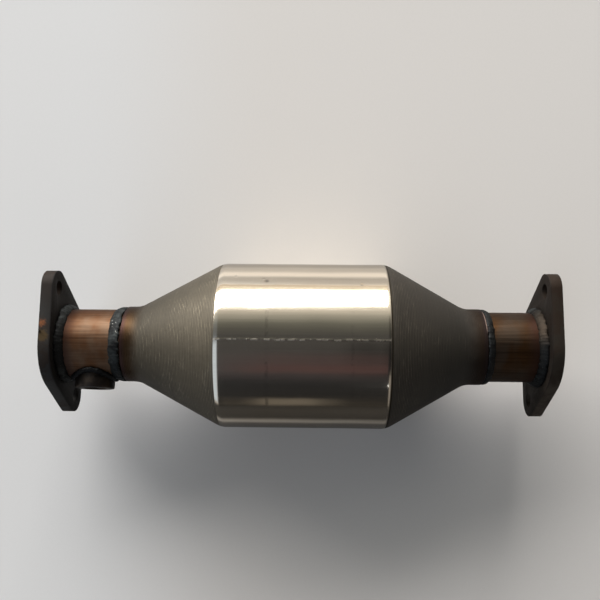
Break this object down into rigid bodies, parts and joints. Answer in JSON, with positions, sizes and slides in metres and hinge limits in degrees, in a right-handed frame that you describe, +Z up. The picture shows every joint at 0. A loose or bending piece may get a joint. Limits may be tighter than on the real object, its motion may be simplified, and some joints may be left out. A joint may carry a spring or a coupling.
{
  "type": "catalytic converter",
  "caption": "Catalytic converter: a round spun can with a cone at each end, a flanged pipe on each side and a welded oxygen sensor boss near the inlet.",
  "frame": {"origin": "On the gas axis, halfway between the outer faces of the two flanges", "axes": "+X along the gas flow, from the inlet with the sensor boss to the outlet; +Z up as it lies on its can"},
  "size_m": [0.3632, 0.12, 0.1201],
  "materials": {
    "can_steel": "polished stainless can with spun, heat-stained cones",
    "pipe_steel": "stainless tube with a golden-brown heat tint",
    "flange_steel": "plain plate with dark mill scale and a little rust",
    "boss_steel": "turned stainless, darkened by heat",
    "weld_metal": "as welded, dark grey-blue, rippled",
    "brick_ceramic": "coated cordierite, matt",
    "mat_fibre": "intumescent fibre mat",
    "ring_wire": "knitted stainless wire, pressed"
  },
  "bodies": {
    "root": {"can_shell": "can_steel", "substrate": "brick_ceramic", "support_mat": "mat_fibre", "inlet_seal_ring": "ring_wire", "outlet_seal_ring": "ring_wire", "inlet_pipe": "pipe_steel", "outlet_pipe": "pipe_steel", "inlet_flange": "flange_steel", "outlet_flange": "flange_steel", "sensor_boss": "boss_steel", "inlet_flange_weld": "weld_metal", "outlet_flange_weld": "weld_metal", "inlet_neck_weld": "weld_metal", "outlet_neck_weld": "weld_metal", "sensor_boss_weld": "weld_metal"}
  },
  "joints": []
}
